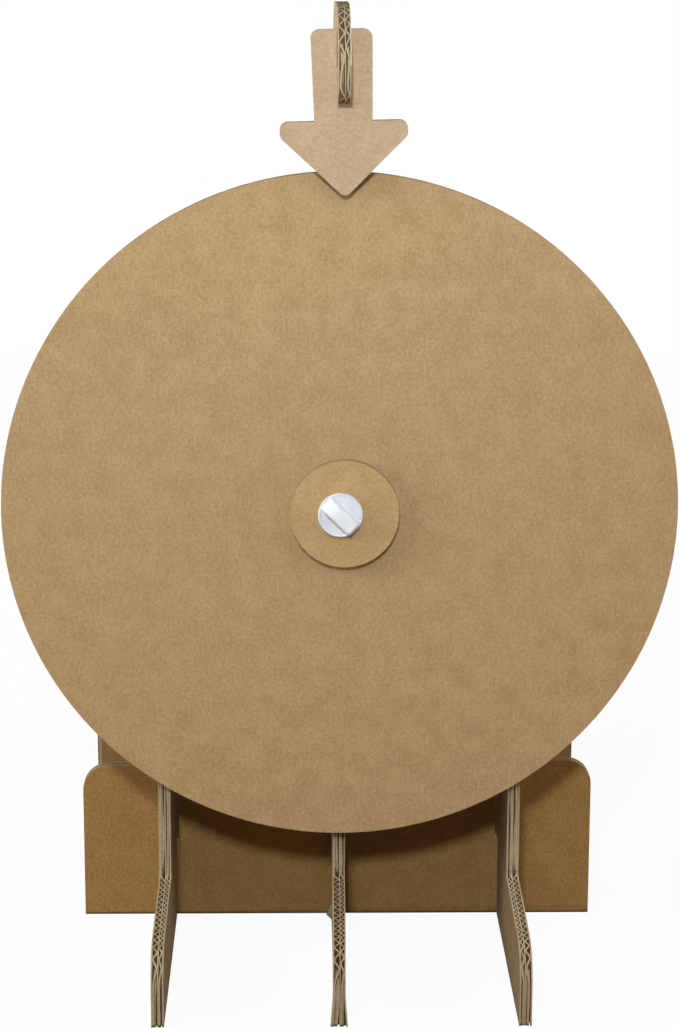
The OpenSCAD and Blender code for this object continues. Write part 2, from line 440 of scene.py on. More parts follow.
def loft(skins: list[ndarray], first: int = 0) -> tuple[ndarray, list]:
    """Joins rings of points into closed skins with a flat face at each end.

    Args:
        skins: The rings of each skin, as rings by points by three.
        first: The number of the first point.

    Returns:
        The points, and the point numbers of the faces.
    """
    points, faces = np.empty((0, 3)), []
    for rings in skins:
        number = np.arange(rings.size // 3).reshape(rings.shape[:2]) + first + len(points)
        over = np.roll(number, -1, axis=1)
        sides = np.stack([number[:-1], over[:-1], over[1:], number[1:]], axis=-1).reshape(-1, 4)
        faces += [*sides.tolist(), number[0, ::-1].tolist(), number[-1].tolist()]
        points = np.concatenate([points, rings.reshape(-1, 3)])
    return points, faces


def middle_of(edges: ndarray) -> ndarray:
    """Gives the middle of an outline's box."""
    corners = edges.reshape(-1, 2)
    return (corners.min(0) + corners.max(0)) / 2


def share_of(places: ndarray) -> ndarray:
    """Gives where each place lies between the least and the greatest, from 0 to 1."""
    return (places - places.min()) / (places.max() - places.min())


def in_order(edges: ndarray, axis: int) -> ndarray:
    """Turns each edge so that it runs up an axis."""
    return np.take_along_axis(edges, edges[:, :, [axis]].argsort(1), axis=1)


class Facing(Enum):
    """Which way a board's faces look: the value is the axis that its thickness lies along."""

    SIDEWAYS = 0
    FORWARD = 1


class Flutes(Enum):
    """Which way a board's flutes run: the value is their turn from upright, in degrees."""

    UPRIGHT = 0.0
    LEVEL = 90.0


class WideFlute(Enum):
    """Which face the wider flutes lie under: the back or left face, or the front or right face."""

    BEHIND = 0
    BEFORE = 1


class Shows(IntEnum):
    """Which paper shows on a face of a sheet: the value is its place among the board's materials."""

    LINER = 0
    CUT = 1
    INSIDE = 2


@dataclass(frozen=True)
class BoardMake:
    """Make-up of the double-wall board: outer liner, wide flutes, inner liner, narrow flutes, outer liner.

    A fluted sheet's swing leaves a share of its thickness to the liners. Its phase wanders by so many radians
    over so many flutes, twice. It is cut back from the board's edge, but by no more than a share of what a
    strip holds, and it is thickened across its slope, up to a limit.
    """

    outer_liner_mm: float = 0.95
    inner_liner_mm: float = 0.85
    medium_mm: float = 0.9
    medium_room: float = 0.8
    wide_share: float = 0.585
    wide_pitch_mm: float = 7.2
    narrow_pitch_mm: float = 6.15
    wander: tuple[tuple[float, float], ...] = ((0.35, 5.3), (0.5, 13.7))
    washboard_mm: float = 0.012
    cut_back_mm: float = 0.16
    cut_back_most: float = 0.45
    least_run_mm: float = 0.01
    most_thickening: float = 1.6
    steps_per_flute: int = 11


@dataclass(frozen=True)
class BoardPapers:
    """The papers that show on a board: its two faces, its cut edges, and the insides of its flutes."""

    face: Material
    cut: Material
    inside: Material


@dataclass(frozen=True)
class Sheet:
    """One sheet of a board: its mean depth, its swing and its wave along the board, and its thickness."""

    depth: float
    swing: float
    wave: ndarray
    thickness: float
    cut_back: float


@dataclass
class Board:
    """A flat piece cut from corrugated board, drawn as its five sheets.

    The board has its own directions: across the flutes, along them, and depth, which runs to the right on a
    board that faces sideways and to the front on one that faces forward.
    """

    node: str
    body: str
    facing: Facing
    flutes: Flutes
    papers: BoardPapers
    skew_deg: float
    seed: int
    wide: WideFlute = WideFlute.BEHIND
    shift_mm: float = 0.0
    tilt_deg: float = 0.0
    rows_mm: tuple[float, ...] = ()
    row_share: float = 0.2
    make: BoardMake = field(default_factory=BoardMake)

    def outline(self) -> ndarray:
        """Finds the cut outline: the edges that only one triangle of the solid's flat face has.

        Returns:
            Edges as rows of two ends, each end sideways and up.
        """
        points, triangles = node_triangles(self.node)
        level = points[:, self.facing.value]
        flat = np.all(np.isclose(level[triangles], level.min(), atol=SAME), axis=1)
        places, number = merged(self.upright_plane(points), SOLID_DIGITS)
        sides = number[triangles[flat]]
        edges = np.sort(np.concatenate([sides[:, [0, 1]], sides[:, [1, 2]], sides[:, [2, 0]]]), axis=1)
        edges, uses = np.unique(edges, axis=0, return_counts=True)
        return self.tilted(places[edges[uses == 1]])

    def thickness(self) -> float:
        """Measures the board's thickness on its solid."""
        low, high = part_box(self.node)
        return float(high[self.facing.value] - low[self.facing.value])

    def upright_plane(self, points: ndarray) -> ndarray:
        """Drops the axis through the board, which leaves sideways and up."""
        return points[:, [1 - self.facing.value, 2]]

    def tilted(self, edges: ndarray) -> ndarray:
        """Turns an outline about the middle of its box, as a board sits a little askew in its slot.

        Args:
            edges: Edges as rows of two ends.

        Returns:
            The turned edges.
        """
        centre = middle_of(edges)
        return (edges - centre) @ turn(math.radians(self.tilt_deg)).T + centre

    def strips(self, edges: ndarray, step: float) -> tuple[ndarray, ndarray]:
        """Cuts an outline into narrow strips along the flutes.

        A new strip starts at each corner of the outline and at each step, so every edge that crosses a strip
        is straight there. The edges that cross it, in order, are by turns where the board starts and where
        it ends.

        Args:
            edges: Edges as rows of two ends, each end across and along the flutes.
            step: The widest strip.

        Returns:
            Across: each strip's left and right. Along: where the board starts and ends at each of the two.
        """
        corners = np.unique(np.round(edges[:, :, 0], MESH_DIGITS))
        stops = np.unique(np.concatenate([corners, np.arange(corners[0], corners[-1], step)]))
        stops = stops[np.concatenate([[True], np.diff(stops) > 2 * SAME])]
        across = np.stack([stops[:-1], stops[1:]], axis=1)
        middle = across.mean(1)[:, None]
        first, last = in_order(edges, 0).transpose(1, 0, 2)
        slope = (last[:, 1] - first[:, 1]) / np.maximum(last[:, 0] - first[:, 0], TINY)
        crosses = (first[:, 0] < middle) & (last[:, 0] > middle)
        count = crosses.sum(1)
        at_middle = first[:, 1] + slope * (middle - first[:, 0])
        order = np.argsort(np.where(crosses, at_middle, np.inf), axis=1)[:, :count.max()]
        at_sides = [first[:, 1] + slope * (side[:, None] - first[:, 0]) for side in across.T]
        ends = np.stack([np.take_along_axis(place, order, 1) for place in at_sides], axis=1)
        spans = np.stack([ends[:, :, 0::2], ends[:, :, 1::2]], axis=-1).transpose(0, 2, 1, 3)
        there = np.arange(0, count.max(), 2) < count[:, None]
        return np.repeat(across[:, None], there.shape[1], axis=1)[there], spans[there]

    def flute_rooms(self) -> ndarray:
        """Finds where each fluted sheet has its room.

        Returns:
            Depth from and to, for the wide flutes and then the narrow ones, from the face over the wide ones.
        """
        outer, inner = self.make.outer_liner_mm * MM, self.make.inner_liner_mm * MM
        thickness = self.thickness()
        wide = (thickness - 2 * outer - inner) * self.make.wide_share
        return np.array([[outer, outer + wide], [outer + wide + inner, thickness - outer]])

    def sheets(self, across: ndarray) -> list[Sheet]:
        """Lays out the five sheets from one face to the other.

        A fluted sheet swings as a cosine across the board, with slow wander in its phase. The outer liners
        follow the flutes below them by a hair, which is the washboarding that shows in raking light.

        Args:
            across: Where the strips' sides lie across the flutes.

        Returns:
            The sheets, from the face with the wide flutes on.
        """
        make = self.make
        outer, inner, medium = make.outer_liner_mm * MM, make.inner_liner_mm * MM, make.medium_mm * MM
        draw = np.random.default_rng(self.seed)
        pitches = (make.wide_pitch_mm, make.narrow_pitch_mm)
        waves = [self.flute_wave(across, pitch * MM, draw) for pitch in pitches]
        ripple = make.washboard_mm * MM
        cut = make.cut_back_mm * MM
        rooms = self.flute_rooms()
        wide, narrow = (
            Sheet((start + end) / 2, (end - start - make.medium_room * medium) / 2, wave, medium, cut)
            for (start, end), wave in zip(rooms, waves))
        return [
            Sheet(outer / 2, ripple, waves[0], outer, 0.0),
            wide,
            Sheet(rooms[0, 1] + inner / 2, 0.0, np.zeros_like(across), inner, cut / 2),
            narrow,
            Sheet(self.thickness() - outer / 2, ripple, waves[1], outer, 0.0),
        ]

    def flute_wave(self, across: ndarray, pitch: float, draw: np.random.Generator) -> ndarray:
        """Works out a flute's wave, between -1 and 1: a cosine whose phase wanders slowly.

        Args:
            across: Places across the flutes.
            pitch: Distance from flute to flute.
            draw: Source of the phases.

        Returns:
            The wave at each place.
        """
        start, *phases = draw.uniform(0, TURN, 1 + len(self.make.wander))
        wander = sum(reach * np.sin(across * TURN / (flutes * pitch) + phase)
                     for (reach, flutes), phase in zip(self.make.wander, phases))
        return np.cos(across * TURN / pitch + start + wander)

    def sheet_shell(self, across: ndarray, along: ndarray, sheet: Sheet) -> ndarray:
        """Works out a sheet's corners in every strip.

        A corner's depth is the sheet's mean depth plus its swing times its wave, less or plus half its
        thickness measured square to its slope.

        Args:
            across: Each strip's left and right.
            along: Where the board starts and ends at each side.
            sheet: The sheet.

        Returns:
            Corners by strip, side, row and level, each across, along and depth.
        """
        make = self.make
        room = np.diff(along, axis=-1)
        cut = np.minimum(sheet.cut_back, make.cut_back_most * np.maximum(room, 0))
        ends = along + cut * [1, -1]
        thin = np.maximum(make.least_run_mm * MM - np.diff(ends, axis=-1), 0) / 2
        ends = ends + thin * [-1, 1]
        middle = sheet.depth + sheet.swing * sheet.wave
        rise = np.diff(middle, axis=1) / np.diff(across, axis=1)
        thicker = np.minimum(np.sqrt(1 + rise ** 2), make.most_thickening)
        half = sheet.thickness / 2 * thicker * np.ones_like(across)
        levels = np.stack([middle - half, middle + half], axis=-1)
        rows = self.row_places(ends)
        shape = (*rows.shape, 2)
        return np.stack([
            np.broadcast_to(across[:, :, None, None], shape),
            np.broadcast_to(rows[:, :, :, None], shape),
            np.broadcast_to(levels[:, :, None, :], shape)], axis=-1)

    def row_places(self, ends: ndarray) -> ndarray:
        """Divides the strips along the flutes, close to where they start, for a board that bends there.

        Args:
            ends: Where the sheet starts and ends at each side of each strip.

        Returns:
            The places of its rows, from start to end.
        """
        share = np.arange(1, len(self.rows_mm) + 1) * self.row_share
        steps = np.minimum(np.array(self.rows_mm) * MM, share * np.diff(ends, axis=-1))
        return np.concatenate([ends[..., :1], ends[..., :1] + steps, ends[..., 1:]], axis=-1)

    @staticmethod
    def shell_sides(rows: int) -> tuple[ndarray, ndarray]:
        """Numbers the faces of one strip of a sheet.

        Args:
            rows: How many rows of corners the strip has.

        Returns:
            The corners of each face, and 1 for its upper faces, -1 for its lower ones and 0 for its cut ends.
        """
        left, right = np.arange(4 * rows).reshape(2, rows, 2)
        upper = np.stack([left[:-1, 1], right[:-1, 1], right[1:, 1], left[1:, 1]], axis=-1)
        lower = np.stack([left[1:, 0], right[1:, 0], right[:-1, 0], left[:-1, 0]], axis=-1)
        ends = np.array([[left[0, 0], right[0, 0], right[0, 1], left[0, 1]],
                         [left[-1, 1], right[-1, 1], right[-1, 0], left[-1, 0]]])
        return np.concatenate([upper, lower, ends]), np.repeat([1, -1, 0], [rows - 1, rows - 1, 2])

    def bent(self, vertices: ndarray) -> ndarray:
        """Gives the board's points as they lie in use. A plain board stays flat, and may sit to one side."""
        return vertices + [self.shift_mm * MM, 0, 0]

    def extra(self) -> list[ndarray]:
        """Gives the skins of what else hangs on the board, as rings of points. A plain board has nothing."""
        return []

    def build(self) -> None:
        """Builds the board from its sheets and puts it in its node's place."""
        low, high = (np.array(corner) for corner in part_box(self.node))
        lay = turn(math.radians(self.flutes.value + self.skew_deg))
        step = self.make.narrow_pitch_mm * MM / self.make.steps_per_flute
        across, along = self.strips(self.outline() @ lay, step)
        sheets = self.sheets(across)
        shells = np.stack([self.sheet_shell(across, along, sheet) for sheet in sheets])
        lowest, highest = 0, len(sheets) - 1
        if self.wide is WideFlute.BEFORE:
            shells = shells[..., ::-1, :] * [1, 1, -1] + [0, 0, self.thickness()]
            lowest, highest = highest, lowest
        paper, number = merged(shells.reshape(-1, 3), MESH_DIGITS)
        number = number.reshape(len(sheets), len(across), -1)
        sides, looks = self.shell_sides(shells.shape[3])
        faces = number[:, :, sides].reshape(-1, 4).tolist()
        slots = np.tile(np.where(looks == 0, Shows.CUT, Shows.INSIDE), (len(sheets), len(across), 1))
        slots[lowest, :, looks == -1] = Shows.LINER
        slots[highest, :, looks == 1] = Shows.LINER
        flat = paper[:, :2] @ lay.T
        if self.facing is Facing.SIDEWAYS:
            vertices = np.stack([low[0] + paper[:, 2], flat[:, 0], flat[:, 1]], axis=1)
        else:
            vertices = np.stack([flat[:, 0], high[1] - paper[:, 2], flat[:, 1]], axis=1)
        more, skin = loft(self.extra(), len(vertices))
        piece = make_object(
            self.node + "_sheets", self.bent(np.concatenate([vertices, more])), faces + skin,
            [self.papers.face, self.papers.cut, self.papers.inside],
            np.concatenate([slots.ravel(), np.full(len(skin), Shows.CUT)]),
            np.concatenate([paper + [0, 0, self.seed % PAPER_PLACES], more]))
        install(piece, self.node, self.body)


@dataclass
class RoundBoard(Board):
    """A disc of board with a round bore, cut as true circles."""

    bore_d_mm: float = 14.1
    off_centre_mm: float = 0.0
    rim_points: int = 288
    bore_points: int = 72

    def outline(self) -> ndarray:
        """Works out the rim and the bore as circles, from the node's box.

        Returns:
            Edges as rows of two ends, each end sideways and up.
        """
        low, high = (self.upright_plane(np.array([corner]))[0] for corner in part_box(self.node))
        centre = np.array(axle())[[0, 2]]
        shift = np.array([self.off_centre_mm * MM, 0.0])
        rim = circle(self.rim_points) * (high - low).max() / 2 + centre + shift
        bore = circle(self.bore_points) * self.bore_d_mm * MM / 2 + centre
        return np.concatenate([np.stack([ring, np.roll(ring, -1, axis=0)], axis=1) for ring in (rim, bore)])


@dataclass
class Fin(Board):
    """A board that stands front to back. Where the knife ran along its flutes, it pressed them flat."""

    press_mm: float = 0.35
    press_hollow_mm: float = 0.4
    press_slit_mm: tuple[float, float] = (0.1, 1.0)
    press_wander_mm: float = 57.0
    press_step_mm: float = 1.5
    press_points: int = 5
    press_end_mm: float = 10.0
    press_end_width: float = 0.42
    press_end_dip_mm: float = 1.6
    press_slope: float = 0.5

    def extra(self) -> list[ndarray]:
        """Lays the pressed flutes along the near upright front edges, one ribbon to each fluted sheet.

        Returns:
            The ribbons, as rings of points.
        """
        draw = np.random.default_rng(self.seed)
        rooms = self.flute_rooms()
        if self.wide is WideFlute.BEFORE:
            rooms = self.thickness() - rooms[:, ::-1]
        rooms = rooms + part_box(self.node)[0].x
        return [self.ribbon(line, start, end, draw) for line in self.front_lines() for start, end in rooms]

    def front_lines(self) -> list[ndarray]:
        """Finds the near upright edges of the outline that have nothing before them, joined into lines.

        Returns:
            Lines from the bottom up, as points back and up, those that are longer than a ribbon's two ends.
        """
        edges = in_order(self.outline(), 1)
        low, step = edges[:, 0], edges[:, 1] - edges[:, 0]
        middle = edges.mean(1)
        share = (middle[:, None, 1] - low[:, 1]) / np.maximum(step[:, 1], TINY)
        ahead = low[:, 0] + share * step[:, 0] < middle[:, None, 0] - SAME
        before = (share > 0) & (share < 1) & ahead
        front = edges[(np.abs(step[:, 0]) < self.press_slope * step[:, 1]) & ~before.any(1)]
        front = front[front[:, 0, 1].argsort()]
        breaks = np.flatnonzero(np.abs(front[1:, 0] - front[:-1, 1]).max(1) > SAME) + 1
        lines = [np.concatenate([run[:, 0], run[-1:, 1]]) for run in np.split(front, breaks)]
        return [line for line in lines if line[-1, 1] - line[0, 1] > 2 * self.press_end_mm * MM]

    def ribbon(self, line: ndarray, start: float, end: float, draw: np.random.Generator) -> ndarray:
        """Works out a ribbon that fills one flute's room along a line, but for a slit on each side.

        A slit's width is a sine of the height between its least and its greatest. The ribbon is hollow by an
        arc. At an end that isn't on the floor it narrows and dips, each by the square of the way into its
        last stretch.

        Args:
            line: The line's points from the bottom up, each back and up.
            start: The room's left side.
            end: Its right side.
            draw: Source of the phases.

        Returns:
            Rings of points.
        """
        low, high = line[0, 1], line[-1, 1]
        up = np.linspace(low, high, 2 + int((high - low) / (self.press_step_mm * MM)))[:, None]
        to_end = np.minimum(high - up, np.where(low > MM, up - low, np.inf))
        last = np.clip(1 - to_end / (self.press_end_mm * MM), 0, 1) ** 2
        narrower = last * (1 - self.press_end_width) * (end - start) / 2
        least, most = (slit * MM for slit in self.press_slit_mm)
        turns = up * TURN / (self.press_wander_mm * MM)
        slits = [least + (most - least) * (0.5 + 0.5 * np.sin(turns + phase)) * (1 - last) + narrower
                 for phase in draw.uniform(0, TURN, 2)]
        across = np.linspace(0, 1, self.press_points)
        sideways = start + slits[0] + (end - start - slits[0] - slits[1]) * across
        dip = 4 * self.press_hollow_mm * across * (1 - across) + self.press_end_dip_mm * last
        hollow = np.interp(up, line[:, 1], line[:, 0]) + dip * MM
        sideways = np.concatenate([sideways, sideways[:, ::-1]], axis=1)
        back = np.concatenate([hollow, hollow[:, ::-1] + self.press_mm * MM], axis=1)
        return np.stack([sideways, back, up * np.ones_like(back)], axis=-1)


@dataclass
class CentreFin(Fin):
    """The middle fin: its arm bows to the right and its foot to the left, and its toe and liner are worn.

    The tear's outline gives how far out the points of its cross-section lie, as shares of its reach.
    """

    bow_mm: float = 1.5
    bow_from: float = 0.006
    bow_to: float = -0.1074
    bow_above: float = 0.42
    bow_rise: float = 0.1
    foot_bow_mm: float = 1.5
    foot_bow_below: float = 0.13
    splay: float = 0.34
    splay_height_mm: float = 8.0
    splay_depth_mm: float = 24.0
    tear_mm: tuple[float, float] = (10.7, 3.6)
    tear_front_mm: float = -3.0
    tear_t_mm: float = 0.35
    tear_lift_mm: float = 0.2
    tear_peak: float = 0.38
    tear_least: float = 0.03
    tear_curl: float = 0.5
    tear_outline: tuple[float, ...] = (-0.1, 0.35, 0.7, 1.0)
    tear_rows: int = 13

    def bent(self, vertices: ndarray) -> ndarray:
        """Bows the arm and the foot, and splays the toe.

        The arm's bow grows with the distance out along it, and the foot's with the square of that, in full up
        to half its height. The splay spreads the sheets from the middle, and falls off as a bell curve up
        from the floor and back from the toe's front.

        Args:
            vertices: Points of the flat board.

        Returns:
            The moved points.
        """
        x, y, z = vertices.T
        out = np.clip((y - self.bow_from) / (self.bow_to - self.bow_from), 0, 1)
        bow = self.bow_mm * MM * out * np.clip((z - self.bow_above) / self.bow_rise, 0, 1)
        ahead = np.clip(y / y.min(), 0, 1) ** 2
        bow = bow - self.foot_bow_mm * MM * ahead * np.clip(2 - 2 * z / self.foot_bow_below, 0, 1)
        fall = (z / (self.splay_height_mm * MM)) ** 2 + ((y - y.min()) / (self.splay_depth_mm * MM)) ** 2
        return np.stack([x * (1 + self.splay * np.exp(-fall)) + bow, y, z], axis=1)

    def extra(self) -> list[ndarray]:
        """Adds the torn bit of liner to the pressed flutes.

        It stands out from the left face, where the fin passes through the front board, most at its peak, and
        curls forward as it goes out.

        Returns:
            The ribbons and the torn bit, as rings of points.
        """
        height, reach = (length * MM for length in self.tear_mm)
        up = np.linspace(0, 1, self.tear_rows)[:, None]
        peak = np.clip(np.minimum(up / self.tear_peak, (1 - up) / (1 - self.tear_peak)), self.tear_least, 1)
        out = np.array(self.tear_outline + self.tear_outline[::-1])
        behind = np.repeat([0.0, self.tear_t_mm * MM], len(self.tear_outline))
        torn = np.stack([
            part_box(self.node)[0].x - reach * peak * out,
            self.tear_front_mm * MM - self.tear_curl * reach * (peak * out) ** 2 + behind,
            (up * height + self.tear_lift_mm * MM) * np.ones_like(out)], axis=-1)
        return [*super().extra(), torn]


@dataclass
class FrontBoard(Board):
    """The front cross board, hand-cut: lower edge crushed, top off level, outer slots wide on the inside."""

    crush_mm: float = 0.8
    crush_height_mm: float = 2.4
    slack_mm: float = 1.2
    wall_reach_mm: float = 0.5
    top_slope: float = 0.0096
    top_drop_mm: float = 0.65
    top_share: float = 0.75

    def tilted(self, edges: ndarray) -> ndarray:
        """Moves the outer slots' inner walls away from their fins, and slopes the top edge down to the left.

        Args:
            edges: Edges as rows of two ends.

        Returns:
            The moved edges.
        """
        faces = np.array([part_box("left_fin")[1].x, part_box("right_fin")[0].x])
        wall = np.any(np.abs(edges[..., :1] - faces) < self.wall_reach_mm * MM, axis=-1)
        aside = np.where(wall, -np.sign(edges[..., 0]) * self.slack_mm * MM, 0.0)
        top = edges[..., 1] > self.top_share * edges[..., 1].max()
        rise = np.where(top, self.top_slope * edges[..., 0] - self.top_drop_mm * MM, 0.0)
        return super().tilted(edges + np.stack([aside, rise], axis=-1))

    def bent(self, vertices: ndarray) -> ndarray:
        """Rolls the lower front edge back, by the square of the depth below a crease.

        Args:
            vertices: Points of the flat board.

        Returns:
            The moved points.
        """
        x, y, z = vertices.T
        below = np.clip(1 - z / (self.crush_height_mm * MM), 0, 1)
        front = share_of(-y)
        return np.stack([x, y + self.crush_mm * MM * front * below ** 2, z], axis=1)


@dataclass
class RearBoard(Board):
    """The rear cross board: its left end is cut aslant, so that its flutes show from the front."""

    slant_mm: float = 3.0
    slant_reach_mm: float = 15.0

    def bent(self, vertices: ndarray) -> ndarray:
        """Moves the left end to the right, in step with the distance from the back face.

        Args:
            vertices: Points of the board as cut square.

        Returns:
            The moved points.
        """
        x, y, z = vertices.T
        near = np.clip(1 - (x - x.min()) / (self.slant_reach_mm * MM), 0, 1)
        front = share_of(-y)
        return np.stack([x + self.slant_mm * MM * near * front, y, z], axis=1)


@dataclass
class Pointer(Board):
    """The hand-cut arrow: its stem widens to the top, its slot is off its middle, and its tip hangs back."""

    slot_off_mm: float = 0.85
    slot_reach_mm: float = 6.0
    stem_from: float = 0.46
    flare: tuple[float, float] = (0.12, 0.08)
    lean_deg: float = 4.7

    def tilted(self, edges: ndarray) -> ndarray:
        """Moves the slot's walls to the right, then turns the outline.

        Args:
            edges: Edges as rows of two ends.

        Returns:
            The moved and turned edges.
        """
        middle = middle_of(edges)
        slot = (np.abs(edges[..., 0] - middle[0]) < self.slot_reach_mm * MM) & (edges[..., 1] > middle[1])
        return super().tilted(edges + slot[..., None] * [self.slot_off_mm * MM, 0])

    def bent(self, vertices: ndarray) -> ndarray:
        """Widens the stem and leans the arrow, each in step with the height, and moves it with the arm.

        Args:
            vertices: Points of the flat arrow.

        Returns:
            The moved points.
        """
        x, y, z = vertices.T
        height = share_of(z)
        aside = x - (x.min() + x.max()) / 2
        up_stem = np.clip((height - self.stem_from) / (1 - self.stem_from), 0, 1)
        wider = np.where(aside < 0, *self.flare) * aside * up_stem
        back = math.tan(math.radians(self.lean_deg)) * (z.max() - z)
        return super().bent(np.stack([x + wider, y + back, z], axis=1))


def round_off(corners: list[tuple[float, float, float]], steps: int = 6) -> ndarray:
    """Rounds the corners of an open line with arcs.

    Each arc touches both sides of its corner. Its centre lies on the corner's bisector, at the radius over
    the sine of the half angle.

    Args:
        corners: Points with the radius that rounds each. The two ends stay sharp.
        steps: Points along each arc, less one.

    Returns:
        The line's points.
    """
    points = np.array(corners)[:, :2]
    line = [points[:1]]
    for at, before, after, (_, _, radius) in zip(points[1:-1], points[:-2], points[2:], corners[1:-1]):
        back = (before - at) / np.linalg.norm(before - at)
        ahead = (after - at) / np.linalg.norm(after - at)
        half = math.acos(float(np.clip(back @ ahead, -1, 1))) / 2
        centre = at + (back + ahead) / np.linalg.norm(back + ahead) * radius / math.sin(half)
        legs = [at + leg * radius / math.tan(half) - centre for leg in (back, ahead)]
        start, end = (math.atan2(leg[1], leg[0]) for leg in legs)
        bend = (end - start + math.pi) % TURN - math.pi
        angle = start + bend * np.linspace(0, 1, steps + 1)
        line.append(centre + radius * np.stack([np.cos(angle), np.sin(angle)], axis=1))
    return np.concatenate([*line, points[-1:]])


@dataclass
class TurnFastener:
    """The moulded fastener: flange with a raised rim and a wing grip, stem, neck and bayonet head.

    The wing's two roll lengths are those of its upper left end and its lower right end.
    """

    finish: Material
    wing_finish: Material
    node: str = "turn_fastener"
    core_r_mm: float = 0.5
    flange_t_mm: float = 2.4
    rim_w_mm: float = 1.3
    rim_h_mm: float = 0.5
    rim_slope_mm: float = 0.15
    rim_r_mm: float = 0.2
    root_r_mm: float = 0.3
    stem_d_mm: float = 14.0
    stem_r_mm: float = 0.5
    neck_d_mm: float = 8.0
    neck_in_head_mm: float = 1.0
    head_w_mm: float = 7.6
    head_t_mm: float = 4.0
    head_edge_mm: float = 0.4
    lock_gap_mm: float = 3.4
    wing_l_mm: float = 23.6
    wing_w_mm: float = 9.8
    wing_h_mm: float = 7.5
    wing_least_mm: float = 0.05
    wing_root_mm: float = 0.6
    wing_corner_mm: float = 1.6
    wing_edge_mm: float = 1.5
    wing_edge_share: float = 0.6
    wing_draft_mm: float = 0.5
    wing_roll_mm: tuple[float, float] = (10.5, 2.0)
    wing_angle_deg: float = 44.0
    wing_stations: int = 37
    wing_edge_points: int = 7
    edge_mm: float = 0.6
    round_points: int = 96

    def place(self, sideways: ndarray, up: ndarray, back: ndarray) -> ndarray:
        """Puts points on the axle.

        Args:
            sideways: Millimetres to the right of the axis.
            up: Millimetres above it.
            back: Millimetres behind the front of the wing.

        Returns:
            Points in the part's frame.
        """
        centre = axle()
        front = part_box(self.node)[0].y
        return np.stack([centre.x + sideways * MM, front + back * MM, centre.z + up * MM], axis=-1)

    def length_mm(self) -> float:
        """Measures the fastener along its axis, from the wing's front to the head's back."""
        low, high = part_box(self.node)
        return (high.y - low.y) / MM

    def at_wing_angle(self, flat: ndarray) -> ndarray:
        """Turns points that were laid out level to the wing's angle."""
        return flat @ turn(-math.radians(self.wing_angle_deg)).T

    def turned_body(self) -> ndarray:
        """Carries the fastener's half section round the axis, from the flange's middle to the bayonet head.

        Returns:
            Rings of points.
        """
        low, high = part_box(self.node)
        flange_r = (high.x - low.x) / 2 / MM
        inside = flange_r - self.rim_w_mm
        stem_r, neck_r = self.stem_d_mm / 2, self.neck_d_mm / 2
        front = self.wing_h_mm
        rim, flange_back = front - self.rim_h_mm, front + self.flange_t_mm
        head_front = self.length_mm() - self.head_t_mm
        stem_end = head_front - self.lock_gap_mm
        section = round_off([
            (self.core_r_mm, front, 0),
            (inside, front, self.root_r_mm),
            (inside + self.rim_slope_mm, rim, self.rim_r_mm),
            (flange_r, rim, self.edge_mm),
            (flange_r, flange_back, self.edge_mm),
            (stem_r, flange_back, self.root_r_mm),
            (stem_r, stem_end, self.stem_r_mm),
            (neck_r, stem_end, self.root_r_mm),
            (neck_r, head_front + self.neck_in_head_mm, 0)])
        around = circle(self.round_points)
        radius, back = section[:, :1], section[:, 1:]
        return self.place(radius * around[:, 0], radius * around[:, 1], back * np.ones(len(around)))

    def wing(self) -> ndarray:
        """Carries the wing's cross-section along its length, from its upper left end to its lower right.

        The section is a bar with two rounded upper edges and a little draft. Towards each end its height
        falls along a quarter ellipse and its sides close in along a quarter circle.

        Returns:
            Rings of points.
        """
        half = self.wing_l_mm / 2
        station = half * np.sin(np.linspace(-math.pi / 2, math.pi / 2, self.wing_stations))[:, None]
        roll = np.where(station < 0, *self.wing_roll_mm)
        past = np.clip((np.abs(station) - half + roll) / roll, 0, 1)
        height = self.wing_least_mm + (self.wing_h_mm - self.wing_least_mm) * np.sqrt(1 - past ** 2)
        close = np.clip((np.abs(station) - half + self.wing_corner_mm) / self.wing_corner_mm, 0, 1)
        width = self.wing_w_mm / 2 - self.wing_corner_mm * (1 - np.sqrt(1 - close ** 2))
        edge = np.minimum(self.wing_edge_mm, self.wing_edge_share * height)
        bend = np.linspace(0, math.pi / 2, self.wing_edge_points)
        top = width - self.wing_draft_mm * height / self.wing_h_mm
        right = np.concatenate([width, width, top - edge * (1 - np.cos(bend))], axis=1)
        foot = np.zeros_like(height)
        rise = np.concatenate([foot - self.wing_root_mm, foot, height - edge * (1 - np.sin(bend))], axis=1)
        across = np.concatenate([right, -right[:, ::-1]], axis=1)
        up = np.concatenate([rise, rise[:, ::-1]], axis=1)
        flat = self.at_wing_angle(np.stack([station * np.ones_like(across), across], axis=-1))
        return self.place(flat[..., 0], flat[..., 1], self.wing_h_mm - up)

    def head(self) -> ndarray:
        """Stacks the bayonet head's outlines: a disc of the stem's size with two sides cut flat.

        Returns:
            Rings of points.
        """
        edge, back = self.head_edge_mm, self.length_mm()
        front = back - self.head_t_mm
        rings = []
        for cut, at in ((edge, front), (0.0, front + edge), (0.0, back - edge), (edge, back)):
            wide = circle(self.round_points) * (self.stem_d_mm / 2 - cut)
            wide[:, 1] = np.clip(wide[:, 1], -self.head_w_mm / 2 + cut, self.head_w_mm / 2 - cut)
            ring = self.at_wing_angle(wide)
            rings.append(self.place(*ring.T, np.full(len(ring), at)))
        return np.stack(rings)

    def build(self) -> None:
        """Builds the fastener, whose wing has a finish of its own, and puts it in its node's place."""
        skins = [self.turned_body(), self.wing(), self.head()]
        vertices, faces = loft(skins)
        slots = np.repeat([0, 1, 0], [len(loft([rings])[1]) for rings in skins])
        finishes = [self.finish, self.wing_finish]
        piece = make_object(self.node + "_moulding", vertices, faces, finishes, slots)
        turn_outward(piece)
        install(piece, self.node, "fastener")


